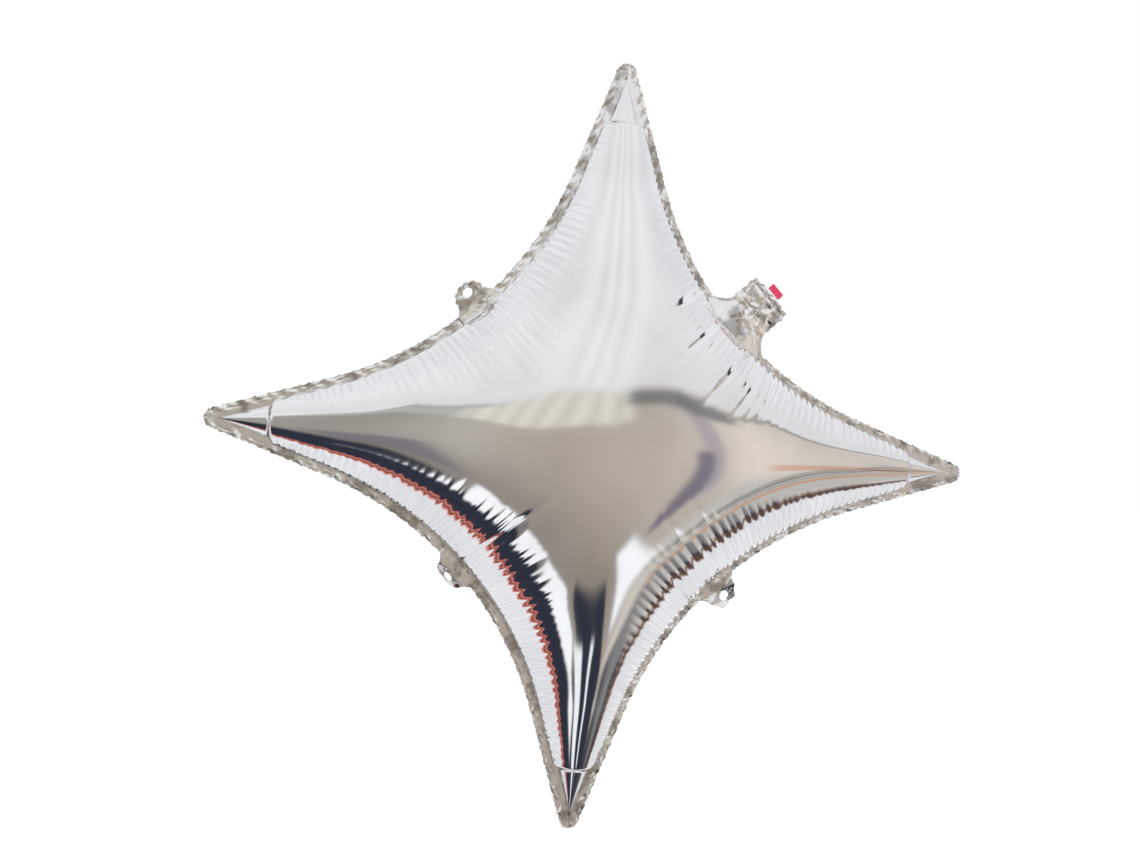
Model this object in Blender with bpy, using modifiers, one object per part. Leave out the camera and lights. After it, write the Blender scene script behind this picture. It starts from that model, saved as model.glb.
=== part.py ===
"""Four-point star foil balloon: two inflated foil films on one welded seam, with tabs and a filling neck.

The star stands in the XZ plane with one arm along each of +X, +Z, -X and -Z. Its front film bulges
towards -Y and its back film towards +Y. The origin is the centre of the balloon. Sizes are in metres.
"""

import math

import bmesh
import bpy
from mathutils import Matrix

MM = 0.001

# Outline of the welded seam's outer edge, the same on all four sides
TIP_REACH = 270 * MM
TIP_ROUND = 7 * MM
TIP_HALF_ANGLE = math.radians(19)
WAIST_REACH = 131 * MM

# Films and weld
FILM_THICKNESS = 1.6 * MM
FLANGE_THICKNESS = 0.6 * MM
SEAM_INSET = 5.2 * MM
TIP_SEAM_INSET = 8.2 * MM
FLANGE_WIDTH = 12 * MM
RING_REACH = 227 * MM
RING_LENGTH = 3 * MM
TOUCH_GAP = 0.3 * MM

# Inflated height from the distances to the four sides: how full, how round, how far opposite sides count
CROWN_FULLNESS = 1.15
CROWN_POWER = 2.5
CROWN_OPPOSITE_SHARE = 20

# Pleats that the seam draws into each film: every second section between two rings lies in one
PLEAT_DEPTH = 1.5 * MM
PLEAT_REACH = 52 * MM
PLEAT_ROOT_SHARE = 0.35

# Straight root land on the flange under each hang tab
LAND_REACH = WAIST_REACH + 3 * MM
LAND_HALF_WIDTH = 12 * MM
LAND_FOOT_HALF_WIDTH = 17 * MM

# Hang tabs
TAB_HALF_WIDTH = 11.5 * MM
TAB_ROUND_CENTRE = 4 * MM
TAB_SCALLOPS = 7
TAB_SCALLOP_DEPTH = 0.7 * MM
TAB_HOLE_RADIUS = 3.6 * MM
TAB_HOLE_CENTRE = 7.5 * MM
TAB_HINGE_GAP = 0.7 * MM

# Filling neck: a flared web on the seam, then a flat sleeve that folds at the web's end
WEB_REACH = WAIST_REACH + 14.5 * MM
WEB_ROOT_HALF_WIDTH = 31 * MM
WEB_PUFF = 3.4 * MM
NECK_HALF_WIDTH = 17.75 * MM
NECK_EDGE_HALF_THICKNESS = 0.4 * MM
NECK_HINGE_GAP = 0.86 * MM
SLEEVE_LENGTH = 20 * MM
SLEEVE_PUFF = 1.6 * MM
SLEEVE_WALL = 0.4 * MM
POCKET_HALF_WIDTH = 14.5 * MM
POCKET_START = 4 * MM
VALVE_FILM_HALF_WIDTH = 7.5 * MM
VALVE_FILM_THICKNESS = 0.3 * MM
VALVE_FILM_PROUD = 2 * MM
VALVE_END_HALF_WIDTH = 5.5 * MM
VALVE_END_LENGTH = 5 * MM
VALVE_END_THICKNESS = 0.5 * MM

# Corner name and turn about +Y from straight up, in degrees
CORNERS = {"upper_right": 45, "lower_right": 135, "lower_left": 225, "upper_left": 315}
TAB_CORNERS = ("upper_left", "lower_left", "lower_right")
NECK_CORNER = "upper_right"

# Sections of an eighth of the film: on the cone past the ring, on the straight seam and on its arc
CONE_MIDDLE = 243 * MM
STRAIGHT_STEPS = 6
ARC_STEPS = 16
FLANGE_ARC_STEPS = 10
CROWN_ROWS = 6
MERGE = 0.00001


def side_arc():
    """Return the radius of a side's concave arc and the distance of its centre along the diagonal."""
    slant = (math.sin(TIP_HALF_ANGLE) + math.cos(TIP_HALF_ANGLE)) / math.sqrt(2)
    straight = (TIP_REACH - TIP_ROUND) * math.sin(TIP_HALF_ANGLE) + TIP_ROUND
    radius = (WAIST_REACH * slant - straight) / (1 - slant)
    return radius, WAIST_REACH + radius


ARC_RADIUS, ARC_CENTRE_DIAGONAL = side_arc()
ARC_CENTRE = ARC_CENTRE_DIAGONAL / math.sqrt(2)
ARC_HALF_SWEEP = math.radians(45) - TIP_HALF_ANGLE


def edge_distance(x, z):
    """Distance inwards from the outer edge of the side between the +X and +Z arms."""
    across = abs(x - z) / math.sqrt(2)
    inwards = (2 * ARC_CENTRE - x - z) / math.sqrt(2)
    if across <= inwards * math.tan(ARC_HALF_SWEEP):
        return math.hypot(across, inwards) - ARC_RADIUS
    along, aside = max(x, z), min(x, z)
    reach = TIP_REACH - TIP_ROUND - along
    return TIP_ROUND + reach * math.sin(TIP_HALF_ANGLE) - aside * math.cos(TIP_HALF_ANGLE)


def seam_inset(along):
    """Distance from the outer edge to the inflated film, which steps in at the ring near each tip."""
    step = min(max((along - RING_REACH + RING_LENGTH) / RING_LENGTH, 0), 1)
    return SEAM_INSET + (TIP_SEAM_INSET - SEAM_INSET) * step


def pleat_inset(inwards):
    """How far a pleat sets the film in, at a distance inwards from the seam."""
    return min(PLEAT_DEPTH, PLEAT_ROOT_SHARE * inwards) * max(1 - inwards / PLEAT_REACH, 0)


def crown_height(x, z, depth, in_pleat):
    """Height of the inflated film over the seam plane, for a film surface set in by depth."""
    inset = seam_inset(max(x, z)) + depth
    own = edge_distance(x, z) - inset
    if own < 1e-9:
        return 0
    if in_pleat:
        own -= pleat_inset(own)
    sides = [own, edge_distance(x, -z) - inset, edge_distance(-x, -z) - inset, edge_distance(-x, z) - inset]
    adjacent = sum((sides[i] * sides[(i + 1) % 4]) ** -CROWN_POWER for i in range(4))
    opposite = sum((sides[i] * sides[i + 2]) ** -CROWN_POWER for i in range(2))
    return CROWN_FULLNESS * (adjacent + CROWN_OPPOSITE_SHARE * opposite) ** (-0.5 / CROWN_POWER)


def film_sections(depth):
    """Sections of an eighth of the star, from the +X tip to the diagonal: (seam point, ridge point)."""
    inset = TIP_SEAM_INSET + depth
    apex = TIP_REACH - TIP_ROUND + (TIP_ROUND - inset) / math.sin(TIP_HALF_ANGLE)
    sections = [((apex, 0.0), (apex, 0.0))]
    ring_foot = RING_REACH - RING_LENGTH
    tangent = ARC_CENTRE - (ARC_RADIUS + SEAM_INSET) * math.sin(TIP_HALF_ANGLE)
    straight = [ring_foot + (tangent - ring_foot) * step / STRAIGHT_STEPS for step in range(STRAIGHT_STEPS)]
    for along in [CONE_MIDDLE, RING_REACH] + straight:
        reach = TIP_REACH - TIP_ROUND - along
        clear = TIP_ROUND - seam_inset(along) - depth + reach * math.sin(TIP_HALF_ANGLE)
        sections.append(((along, clear / math.cos(TIP_HALF_ANGLE)), (along, 0.0)))
    radius = ARC_RADIUS + SEAM_INSET + depth
    for step in range(ARC_STEPS + 1):
        turn = TIP_HALF_ANGLE + ARC_HALF_SWEEP * step / ARC_STEPS
        seam = (ARC_CENTRE - radius * math.sin(turn), ARC_CENTRE - radius * math.cos(turn))
        ridge = ARC_CENTRE * (1 - math.tan(turn))
        sections.append((seam, (0.0 if step == ARC_STEPS else ridge, 0.0)))
    return sections


def film_grid(depth):
    """Points of a quarter of the film, one list per section from its seam point to its ridge."""
    sections = film_sections(depth)
    ring_foot_number = len(sections) - ARC_STEPS - 1 - STRAIGHT_STEPS
    eighth = []
    for number, (seam, ridge) in enumerate(sections):
        in_pleat = number > ring_foot_number and (number - ring_foot_number) % 2 == 1
        rows = []
        for row in range(CROWN_ROWS + 1):
            share = 1 - math.cos(math.radians(90) * row / CROWN_ROWS)
            x = seam[0] + (ridge[0] - seam[0]) * share
            z = seam[1] + (ridge[1] - seam[1]) * share
            height = crown_height(x, z, depth, in_pleat) if row else 0.0
            rows.append((x, z, height))
        rows[-1] = (ridge[0], 0.0, rows[-1][2])
        eighth.append(rows)
    mirrored = [[(z, x, height) for x, z, height in rows] for rows in reversed(eighth)]
    return eighth + mirrored


def collection(name, is_guide=False):
    """Make a collection in the scene."""
    made = bpy.data.collections.new(name)
    bpy.context.scene.collection.children.link(made)
    made.hide_render = is_guide
    return made


def principled(name, colour, metallic, roughness, alpha=1.0):
    """Make a Principled material."""
    material = bpy.data.materials.new(name)
    material.use_nodes = True
    shader = material.node_tree.nodes["Principled BSDF"]
    shader.inputs["Base Color"].default_value = (*colour, 1)
    shader.inputs["Metallic"].default_value = metallic
    shader.inputs["Roughness"].default_value = roughness
    shader.inputs["Alpha"].default_value = alpha
    material.diffuse_color = (*colour, alpha)
    return material


def foil(name):
    """Make one piece's own silver foil."""
    return principled(name, (0.86, 0.86, 0.87), 1.0, 0.08)


def add_object(name, data, home, material):
    """Put a mesh or curve into a collection under the piece's name."""
    made = bpy.data.objects.new(name, data)
    home.objects.link(made)
    data.materials.append(material)
    return made


def corner_frame(corner, reach):
    """World matrix at a corner: local X along the side, local Y outwards, local Z through the sheet."""
    turn = Matrix.Rotation(math.radians(CORNERS[corner]), 4, "Y")
    upright = Matrix.Rotation(math.radians(90), 4, "X")
    return turn @ Matrix.Translation((0, 0, reach)) @ upright


def film(name, facing, home):
    """One inflated film as a thin shell: a quarter by its sections, mirrored to the whole star."""
    mesh = bpy.data.meshes.new(name)
    form = bmesh.new()
    rim = FLANGE_THICKNESS / 2 + TOUCH_GAP
    skins = []
    for depth in (0.0, FILM_THICKNESS):
        grid = film_grid(depth)
        skins.append([[form.verts.new((x, facing * (rim + h), z)) for x, z, h in rows] for rows in grid])
    outer, inner = skins
    for section in range(len(outer) - 1):
        for skin in skins:
            here, there = skin[section], skin[section + 1]
            for row in range(CROWN_ROWS):
                corners = (here[row], there[row], there[row + 1], here[row + 1])
                form.faces.new(corners[::-facing] if skin is outer else corners[::facing])
        rim_corners = (outer[section][0], outer[section + 1][0], inner[section + 1][0], inner[section][0])
        form.faces.new(rim_corners[::facing])
    bmesh.ops.remove_doubles(form, verts=form.verts, dist=MERGE)
    form.to_mesh(mesh)
    form.free()
    made = add_object(name, mesh, home, foil(name))
    mirror = made.modifiers.new("quarters", "MIRROR")
    mirror.use_axis = (True, False, True)
    mirror.use_clip = True
    mirror.merge_threshold = MERGE
    return made


def ring_quarter(inset):
    """Outline of a quarter of the star at an inset from the outer edge, from the +X to the +Z tip."""
    points = []
    if inset == 0:
        for step in range(3):
            turn = (math.pi / 2 - TIP_HALF_ANGLE) * step / 2
            points.append((TIP_REACH - TIP_ROUND + TIP_ROUND * math.cos(turn), TIP_ROUND * math.sin(turn)))
    else:
        points.append((TIP_REACH - TIP_ROUND + (TIP_ROUND - inset) / math.sin(TIP_HALF_ANGLE), 0.0))
    radius = ARC_RADIUS + inset
    for step in range(FLANGE_ARC_STEPS + 1):
        turn = TIP_HALF_ANGLE + 2 * ARC_HALF_SWEEP * step / FLANGE_ARC_STEPS
        points.append((ARC_CENTRE - radius * math.sin(turn), ARC_CENTRE - radius * math.cos(turn)))
    if inset == 0:
        points += [(z, x) for x, z in reversed(points[1:3])]
    return points


def add_loop(curve, points):
    """Add a closed straight-sided loop to a 2D curve."""
    spline = curve.splines.new("POLY")
    spline.points.add(len(points) - 1)
    for point, (x, y) in zip(spline.points, points):
        point.co = (x, y, 0, 1)
    spline.use_cyclic_u = True


def flat_sheet(name, loops, thickness, home, material):
    """A flat sheet with holes: the first loop is its outline and the others are its holes."""
    curve = bpy.data.curves.new(name, "CURVE")
    curve.dimensions = "2D"
    curve.fill_mode = "BOTH"
    curve.extrude = thickness / 2
    curve.render_resolution_u = 0
    for loop in loops:
        add_loop(curve, loop)
    return add_object(name, curve, home, material)


def turned(points, quarter):
    """Turn plane points by a number of quarter turns."""
    for _ in range(quarter):
        points = [(-y, x) for x, y in points]
    return points


def with_land(points):
    """Raise the middle of a quarter outline to the straight land that carries a hang tab."""
    along = [(x - z) / math.sqrt(2) for x, z in points]
    before = [point for point, place in zip(points, along) if place > LAND_FOOT_HALF_WIDTH]
    after = [point for point, place in zip(points, along) if place < -LAND_FOOT_HALF_WIDTH]
    foot = ARC_CENTRE_DIAGONAL - math.sqrt(ARC_RADIUS ** 2 - LAND_FOOT_HALF_WIDTH ** 2)
    middle_width = (LAND_HALF_WIDTH + LAND_FOOT_HALF_WIDTH) / 2
    middle_reach = LAND_REACH - (LAND_REACH - foot) * 0.62
    land = [(LAND_FOOT_HALF_WIDTH, foot), (middle_width, middle_reach), (LAND_HALF_WIDTH, LAND_REACH)]
    land += [(-place, reach) for place, reach in reversed(land)]
    root = [((reach + place) / math.sqrt(2), (reach - place) / math.sqrt(2)) for place, reach in land]
    return before + root + after


def seam_flange(home):
    """The flat welded seam all round the star, with a land at each corner that carries a hang tab."""
    outline = []
    hole = []
    for quarter, corner in enumerate(("upper_right", "upper_left", "lower_left", "lower_right")):
        edge = ring_quarter(0)
        if corner in TAB_CORNERS:
            edge = with_land(edge)
        outline += turned(edge[:-1], quarter)
        hole += turned(ring_quarter(FLANGE_WIDTH), quarter)
    made = flat_sheet("seam_flange", [outline, hole], FLANGE_THICKNESS, home, foil("seam_flange"))
    made.matrix_world = Matrix.Rotation(math.radians(90), 4, "X")
    return made


def circle(centre_y, radius, count):
    """Points of a circle on the local Y axis."""
    turns = [2 * math.pi * step / count for step in range(count)]
    return [(radius * math.cos(turn), centre_y + radius * math.sin(turn)) for turn in turns]


def tab_outline():
    """Outline of a hang tab from its straight root to its scalloped round end."""
    root = TAB_HINGE_GAP / 2
    points = [(-TAB_HALF_WIDTH, root), (TAB_HALF_WIDTH, root)]
    steps = 4 * TAB_SCALLOPS
    for step in range(steps + 1):
        turn = math.pi * step / steps
        radius = TAB_HALF_WIDTH - TAB_SCALLOP_DEPTH * (1 - abs(math.sin(TAB_SCALLOPS * turn)))
        points.append((radius * math.cos(turn), root + TAB_ROUND_CENTRE + radius * math.sin(turn)))
    return points


def hang_tab(corner, home):
    """A foil ear with a ribbon hole, hung on the line where it folds off the seam."""
    name = "hang_tab_" + corner
    hole = circle(TAB_HOLE_CENTRE, TAB_HOLE_RADIUS, 16)
    made = flat_sheet(name, [tab_outline(), hole], FLANGE_THICKNESS, home, foil(name))
    made.matrix_world = corner_frame(corner, LAND_REACH + TAB_HINGE_GAP / 2)
    return made


def pillow(name, columns, rows, place, home, material):
    """A closed lens between two mirrored grids; place(side, along) gives x, y and half thickness."""
    mesh = bpy.data.meshes.new(name)
    form = bmesh.new()
    sheets = []
    for face in (1, -1):
        sheet = []
        for along in rows:
            points = [place(side, along) for side in columns]
            sheet.append([form.verts.new((x, y, face * half)) for x, y, half in points])
        sheets.append(sheet)
    last_row, last_column = len(rows) - 1, len(columns) - 1
    for sheet in sheets:
        for row in range(last_row):
            for column in range(last_column):
                here, there = sheet[row], sheet[row + 1]
                form.faces.new((here[column], here[column + 1], there[column + 1], there[column]))
    border = [(0, column) for column in range(last_column)]
    border += [(row, last_column) for row in range(last_row)]
    border += [(last_row, column) for column in range(last_column, 0, -1)]
    border += [(row, 0) for row in range(last_row, 0, -1)]
    for (row, column), (next_row, next_column) in zip(border, border[1:] + border[:1]):
        top, bottom = sheets
        form.faces.new((top[row][column], top[next_row][next_column],
                        bottom[next_row][next_column], bottom[row][column]))
    bmesh.ops.recalc_face_normals(form, faces=form.faces)
    form.to_mesh(mesh)
    form.free()
    return add_object(name, mesh, home, material)


def pleat(side):
    """Share of the full puff that is left in the pleats across the neck."""
    return 0.75 + 0.25 * math.cos(4 * math.pi * side)


def web_place(side, along):
    """Point of the flared web: it follows the seam's arc at its root and is flat at its fold."""
    root_x = side * WEB_ROOT_HALF_WIDTH
    arc = ARC_CENTRE_DIAGONAL - math.sqrt(ARC_RADIUS ** 2 - root_x ** 2)
    root_y = arc + TOUCH_GAP - WEB_REACH
    half_width = NECK_HALF_WIDTH + (WEB_ROOT_HALF_WIDTH - NECK_HALF_WIDTH) * (1 - along) ** 2.2
    y = root_y * (1 - along) - NECK_HINGE_GAP / 2 * along
    puff = WEB_PUFF * (1 - along) ** 1.2 * (1 - side * side) * pleat(side)
    return side * half_width, y, NECK_EDGE_HALF_THICKNESS + puff


def sleeve_puff(side, y):
    """Half thickness of the flat sleeve, which swells a little between its fold and its mouth."""
    swell = math.sin(math.radians(120) * min(y / SLEEVE_LENGTH, 1))
    return NECK_EDGE_HALF_THICKNESS + SLEEVE_PUFF * swell * (1 - side * side) * pleat(side)


def sleeve_place(side, along):
    """Point of the sleeve's outer form."""
    y = NECK_HINGE_GAP / 2 + (SLEEVE_LENGTH - NECK_HINGE_GAP / 2) * along
    return side * NECK_HALF_WIDTH, y, sleeve_puff(side, y)


def pocket_place(side, along):
    """Point of the flat pocket inside the sleeve, which runs out past its mouth."""
    x = side * POCKET_HALF_WIDTH
    y = POCKET_START + (SLEEVE_LENGTH + 2 * MM - POCKET_START) * along
    return x, y, sleeve_puff(x / NECK_HALF_WIDTH, y) - SLEEVE_WALL


def box(name, half_width, start, end, thickness, home, material):
    """A flat strip on the neck's centre line."""
    mesh = bpy.data.meshes.new(name)
    form = bmesh.new()
    size = (2 * half_width, end - start, thickness)
    place = Matrix.Translation((0, (start + end) / 2, 0)) @ Matrix.Diagonal((*size, 1))
    bmesh.ops.create_cube(form, size=1, matrix=place)
    form.to_mesh(mesh)
    form.free()
    return add_object(name, mesh, home, material)


def filling_neck(home, guides):
    """The web, the sleeve that folds on it, and the valve film with its coloured end."""
    eighths = [step / 4 - 1 for step in range(9)]
    pieces = [pillow("neck_web", eighths, (0, 0.12, 0.3, 0.6, 1), web_place, home, foil("neck_web"))]
    sleeve = pillow("neck_sleeve", eighths, (0, 0.25, 0.5, 0.75, 1), sleeve_place, home, foil("neck_sleeve"))
    pocket = pillow("neck_pocket", eighths, (0, 0.3, 0.6, 1), pocket_place, guides, foil("neck_pocket"))
    pocket.hide_render = True
    pocket.display_type = "WIRE"
    cut = sleeve.modifiers.new("pocket", "BOOLEAN")
    cut.operation = "DIFFERENCE"
    cut.object = pocket
    film_end = SLEEVE_LENGTH + VALVE_FILM_PROUD
    clear = principled("valve_film", (0.92, 0.93, 0.93), 0.0, 0.12, 0.35)
    valve = box("valve_film", VALVE_FILM_HALF_WIDTH, POCKET_START + TOUCH_GAP, film_end,
                VALVE_FILM_THICKNESS, home, clear)
    end_start = film_end + TOUCH_GAP
    end = box("valve_end", VALVE_END_HALF_WIDTH, end_start, end_start + VALVE_END_LENGTH,
              VALVE_END_THICKNESS, home, principled("valve_end", (0.72, 0.05, 0.15), 0.0, 0.35))
    pieces += [sleeve, pocket, valve, end]
    for piece in pieces:
        piece.matrix_world = corner_frame(NECK_CORNER, WEB_REACH)
    return pieces


def build():
    """Build the whole balloon."""
    for old in list(bpy.data.objects):
        bpy.data.objects.remove(old)
    home = collection("star_balloon")
    guides = collection("guides", is_guide=True)
    for name, facing in (("envelope_front", -1), ("envelope_back", 1)):
        skin = film(name, facing, home)
        skin.data.shade_smooth()
    seam_flange(home)
    for corner in TAB_CORNERS:
        hang_tab(corner, home)
    filling_neck(home, guides)


build()
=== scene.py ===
"""Visual model of the four-point star foil balloon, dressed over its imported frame.

The star stands in the XZ plane, its front film towards -Y. Lengths are in metres and angles in
degrees, unless a name says otherwise. "Along" runs round the seam and "in" runs from the seam
towards the ridge of an arm.
"""

from __future__ import annotations

import logging
import math
from dataclasses import dataclass, field
from enum import Enum
from typing import Sequence, Union

import bpy
import numpy as np
from mathutils import Matrix, Vector

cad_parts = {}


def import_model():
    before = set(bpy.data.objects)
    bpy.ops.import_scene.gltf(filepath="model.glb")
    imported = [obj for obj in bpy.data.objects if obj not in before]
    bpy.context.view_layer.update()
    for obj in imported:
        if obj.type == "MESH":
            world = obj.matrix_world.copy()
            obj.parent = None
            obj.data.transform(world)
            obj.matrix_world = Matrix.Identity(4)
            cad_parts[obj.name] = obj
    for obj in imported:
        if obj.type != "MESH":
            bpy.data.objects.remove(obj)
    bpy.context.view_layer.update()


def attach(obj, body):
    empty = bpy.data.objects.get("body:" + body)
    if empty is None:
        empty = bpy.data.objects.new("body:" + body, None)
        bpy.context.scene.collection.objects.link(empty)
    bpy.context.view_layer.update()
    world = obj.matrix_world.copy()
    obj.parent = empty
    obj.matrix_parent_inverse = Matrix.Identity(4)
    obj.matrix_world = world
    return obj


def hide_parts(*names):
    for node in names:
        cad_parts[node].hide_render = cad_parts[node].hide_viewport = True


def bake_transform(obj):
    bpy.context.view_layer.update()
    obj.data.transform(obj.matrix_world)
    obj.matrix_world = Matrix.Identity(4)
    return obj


log = logging.getLogger("star_balloon")

MM = 0.001
HALF_TURN = math.pi

Array = np.ndarray
Colour = tuple[float, float, float]
Link = Union["Value", bpy.types.NodeSocket, float, tuple]


def smooth_step(low: float, high: float, values: Array) -> Array:
    """Rise smoothly from 0 at low to 1 at high.

    Args:
        low: Value at which the result is 0.
        high: Value at which the result is 1.
        values: Numbers to map.

    Returns:
        The mapped numbers, from 0 to 1.
    """
    share = np.clip((values - low) / (high - low), 0.0, 1.0)
    return share * share * (3.0 - 2.0 * share)


def waves(places: Array, pitches: Sequence[float], seed: int) -> Array:
    """Sum seeded sine waves of the given pitches along a line.

    Args:
        places: Places along the line.
        pitches: Wavelengths, one or more waves each.
        seed: Seed of the phases.

    Returns:
        The sum, scaled to about -1 to 1.
    """
    draw = np.random.default_rng(seed)
    total = np.zeros_like(places)
    for pitch in pitches:
        total += np.sin(2 * HALF_TURN * (places / pitch + draw.random()))
    return total / math.sqrt(len(pitches))


def lumps(first: Array, second: Array, pitch: float, count: int, seed: int) -> Array:
    """Sum seeded plane waves over a surface, for its uneven tension.

    Args:
        first: First coordinate of each point.
        second: Second coordinate of each point.
        pitch: Mean wavelength.
        count: Number of waves.
        seed: Seed of the waves.

    Returns:
        The sum, scaled to about -1 to 1.
    """
    draw = np.random.default_rng(seed)
    total = np.zeros_like(first)
    for _ in range(count):
        turn = draw.uniform(0, 2 * HALF_TURN)
        rate = 2 * HALF_TURN / (pitch * draw.uniform(0.7, 1.5))
        phase = draw.uniform(0, 2 * HALF_TURN)
        total += np.sin(rate * (first * math.cos(turn) + second * math.sin(turn)) + phase)
    return total / math.sqrt(count)


# Shader nodes


class Value:
    """A number socket of a shader graph, with arithmetic that adds Math nodes."""

    def __init__(self, graph: "Graph", socket: bpy.types.NodeSocket) -> None:
        """Wrap a socket of a graph."""
        self.graph = graph
        self.socket = socket

    def math(self, operation: str, *others: Link) -> "Value":
        """Add a Math node that takes this value first.

        Args:
            operation: The Math node's operation.
            others: Its other inputs.

        Returns:
            The node's result.
        """
        inputs = dict(enumerate((self, *others)))
        node = self.graph.node("ShaderNodeMath", {"operation": operation}, inputs)
        return Value(self.graph, node.outputs[0])

    def __add__(self, other: Link) -> "Value":
        """Add."""
        return self.math("ADD", other)

    def __radd__(self, other: float) -> "Value":
        """Add to a number."""
        return self.math("ADD", other)

    def __sub__(self, other: Link) -> "Value":
        """Subtract."""
        return self.math("SUBTRACT", other)

    def __rsub__(self, other: float) -> "Value":
        """Subtract from a number."""
        return (self * -1.0).math("ADD", other)

    def __mul__(self, other: Link) -> "Value":
        """Multiply."""
        return self.math("MULTIPLY", other)

    def __rmul__(self, other: float) -> "Value":
        """Multiply a number."""
        return self.math("MULTIPLY", other)

    def __truediv__(self, other: Link) -> "Value":
        """Divide."""
        return self.math("DIVIDE", other)

    def __abs__(self) -> "Value":
        """Take the absolute value."""
        return self.math("ABSOLUTE")

    def __pow__(self, other: float) -> "Value":
        """Raise to a power."""
        return self.math("POWER", other)

    def rise(self, low: float, high: float) -> "Value":
        """Rise smoothly from 0 at low to 1 at high.

        Args:
            low: Value at which the result is 0.
            high: Value at which the result is 1.

        Returns:
            The mapped value.
        """
        settings = {"interpolation_type": "SMOOTHSTEP"}
        inputs = {"Value": self, "From Min": low, "From Max": high}
        node = self.graph.node("ShaderNodeMapRange", settings, inputs)
        return Value(self.graph, node.outputs[0])

    def band(self, low: float, high: float, soft: float) -> "Value":
        """Be 1 between low and high, and fall to 0 over soft on either side.

        Args:
            low: Lower edge of the band.
            high: Upper edge of the band.
            soft: Width of each soft edge.

        Returns:
            The band's mask.
        """
        return self.rise(low - soft, low) * (1.0 - self.rise(high, high + soft))


class Graph:
    """A node tree that is filled one node at a time."""

    def __init__(self, tree: bpy.types.NodeTree) -> None:
        """Empty the tree and keep it."""
        self.tree = tree
        tree.nodes.clear()

    def node(self, kind: str, settings: dict | None = None, inputs: dict | None = None) -> bpy.types.Node:
        """Add a node.

        Args:
            kind: The node's type name.
            settings: Its settings, which are set first. A ramp's "stops" are (place, colour) pairs.
            inputs: Values or links of its sockets, by name or number.

        Returns:
            The new node.
        """
        made = self.tree.nodes.new(kind)
        for name, value in (settings or {}).items():
            if name == "stops":
                self._set_stops(made.color_ramp, value)
            else:
                setattr(made, name, value)
        for name, value in (inputs or {}).items():
            socket = made.inputs[name]
            if isinstance(value, Value):
                self.tree.links.new(value.socket, socket)
            elif isinstance(value, bpy.types.NodeSocket):
                self.tree.links.new(value, socket)
            else:
                socket.default_value = value
        return made

    def _set_stops(self, ramp: bpy.types.ColorRamp, stops: Sequence[tuple[float, Colour]]) -> None:
        """Give a ramp its stops.

        Args:
            ramp: The ramp of a new node.
            stops: (place, colour) pairs in order.
        """
        while len(ramp.elements) < len(stops):
            ramp.elements.new(1.0)
        for element, (place, colour) in zip(ramp.elements, stops):
            element.position = place
            element.color = (*colour, 1.0)

    def value(self, kind: str, settings: dict | None = None, inputs: dict | None = None,
              output: str | int = 0) -> Value:
        """Add a node and wrap one of its number outputs.

        Args:
            kind: The node's type name.
            settings: Its settings.
            inputs: Its inputs.
            output: Name or number of the output.

        Returns:
            The wrapped output.
        """
        return Value(self, self.node(kind, settings, inputs).outputs[output])

    def mix(self, share: Link, below: Link, above: Link) -> bpy.types.NodeSocket:
        """Mix two colours.

        Args:
            share: Share of the second colour.
            below: First colour, as a link or three numbers.
            above: Second colour, as a link or three numbers.

        Returns:
            The mixed colour.
        """
        inputs: dict = {0: share}
        for place, colour in ((6, below), (7, above)):
            inputs[place] = (*colour, 1.0) if isinstance(colour, tuple) else colour
        node = self.node("ShaderNodeMix", {"data_type": "RGBA", "clamp_factor": True}, inputs)
        return node.outputs[2]

    def axes(self, vector: bpy.types.NodeSocket) -> tuple[Value, Value, Value]:
        """Split a vector.

        Args:
            vector: The vector's socket.

        Returns:
            Its three components.
        """
        node = self.node("ShaderNodeSeparateXYZ", inputs={0: vector})
        return tuple(Value(self, socket) for socket in node.outputs)

    def noise(self, scale: float, detail: float = 2.0, roughness: float = 0.5,
              stretch: Colour = (1.0, 1.0, 1.0)) -> Value:
        """Add noise over object coordinates.

        Args:
            scale: Lumps per metre.
            detail: Number of finer layers.
            roughness: Weight of the finer layers.
            stretch: Scale of each axis before the noise.

        Returns:
            The noise, from 0 to 1.
        """
        place = self.node("ShaderNodeTexCoord").outputs["Object"]
        mapped = self.node("ShaderNodeMapping", inputs={"Vector": place, "Scale": stretch})
        inputs = {"Vector": mapped.outputs[0], "Scale": scale, "Detail": detail, "Roughness": roughness}
        return self.value("ShaderNodeTexNoise", inputs=inputs)

    def bump(self, height: Value, distance: float, strength: float = 1.0) -> bpy.types.NodeSocket:
        """Turn a height into a normal.

        Args:
            height: Height, from 0 to 1.
            distance: Height in metres at 1.
            strength: Share of the full effect.

        Returns:
            The normal's socket.
        """
        inputs = {"Height": height, "Distance": distance, "Strength": strength}
        return self.node("ShaderNodeBump", inputs=inputs).outputs[0]


@dataclass(frozen=True)
class Finish:
    """A finish with constants on the shader's own sockets; subclasses add what varies."""

    name: str
    colour: Colour = (0.9, 0.9, 0.9)
    metallic: float = 1.0
    roughness: float = 0.1

    def material(self) -> bpy.types.Material:
        """Build the finish's material.

        Returns:
            The new material.
        """
        made = bpy.data.materials.new(self.name)
        made.use_nodes = True
        graph = Graph(made.node_tree)
        inputs = {"Base Color": (*self.colour, 1.0), "Metallic": self.metallic, "Roughness": self.roughness}
        inputs.update(self.vary(graph))
        shader = graph.node("ShaderNodeBsdfPrincipled", inputs=inputs)
        graph.node("ShaderNodeOutputMaterial", inputs={"Surface": shader.outputs[0]})
        made.diffuse_color = (*self.colour, 1.0)
        return made

    def vary(self, graph: Graph) -> dict:
        """Give the sockets that change over the surface.

        Args:
            graph: The material's graph.

        Returns:
            Socket names and links.
        """
        return {}


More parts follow.
